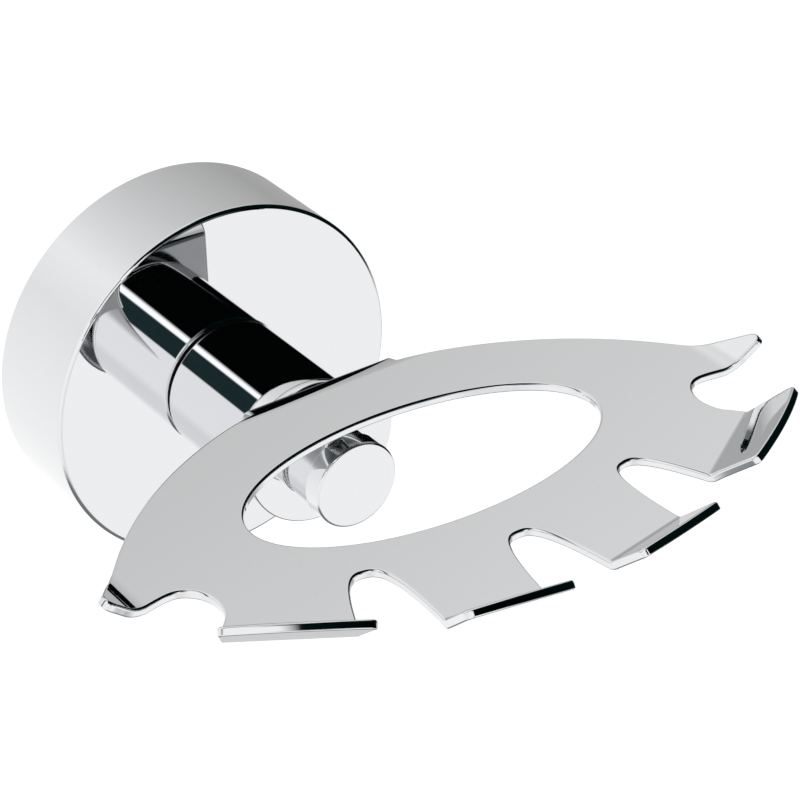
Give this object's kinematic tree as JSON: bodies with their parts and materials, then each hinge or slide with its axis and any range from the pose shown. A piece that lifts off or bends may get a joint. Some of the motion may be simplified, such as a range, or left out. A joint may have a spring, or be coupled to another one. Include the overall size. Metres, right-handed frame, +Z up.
{
  "type": "hair dryer holder",
  "caption": "Wall-mounted chrome hair dryer holder: round rosette, short post, and a notched lens-shaped plate with an oval opening, clamped by a knob.",
  "frame": {"origin": "on the wall, at the centre of the rosette and its bracket's back face", "axes": "+Z up, +Y into the wall, so the post and the plate stand out along -Y; +X to the right seen from the room"},
  "size_m": [0.1038, 0.1052, 0.055],
  "materials": {
    "bracket_zinc": "zinc-plated steel, dull",
    "rosette_chrome": "polished chrome plate",
    "post_chrome": "polished chrome plate",
    "plate_chrome": "polished chrome plate on steel sheet",
    "knob_chrome": "polished chrome plate",
    "screw_steel": "plain steel",
    "seam_fibre": "dark fibre washer",
    "bush_nylon": "natural nylon"
  },
  "bodies": {
    "wall_mount": {"wall_bracket": "bracket_zinc", "rosette_shell": "rosette_chrome", "post_bolt_washer": "screw_steel", "post_bolt": "screw_steel", "post_dowel": "screw_steel", "post_seam_washer": "seam_fibre", "post_tube": "post_chrome", "post_root_plug": "screw_steel", "post_ferrule": "post_chrome"},
    "holder": {"holder_plate": "plate_chrome", "rear_washer": "seam_fibre", "tab_bush": "bush_nylon"},
    "stud": {"clamp_stud": "screw_steel"},
    "clamp_knob": {"knob_neck": "knob_chrome", "knob_cap": "knob_chrome"},
    "grub_screw": {"rosette_grub_screw": "screw_steel"}
  },
  "joints": [
    {"name": "holder_swivel", "type": "hinge", "parent": "wall_mount", "child": "holder", "pos_m": [0, -0.0412, 0], "axis": [0, -1, 0], "range_deg": [-180, 180]},
    {"name": "stud_travel", "type": "slide", "parent": "wall_mount", "child": "stud", "axis": [0, -1, 0], "range_m": [0, 0.006]},
    {"name": "knob_turn", "type": "hinge", "parent": "stud", "child": "clamp_knob", "pos_m": [0, -0.046, 0], "axis": [0, -1, 0], "range_deg": [0, 2160]},
    {"name": "grub_screw_travel", "type": "slide", "parent": "wall_mount", "child": "grub_screw", "axis": [0, 0, -1], "range_m": [0, 0.003]}
  ],
  "couplings": [
    {"joint": "stud_travel", "follows": "knob_turn", "m_per_rad": 0.00015915}
  ]
}
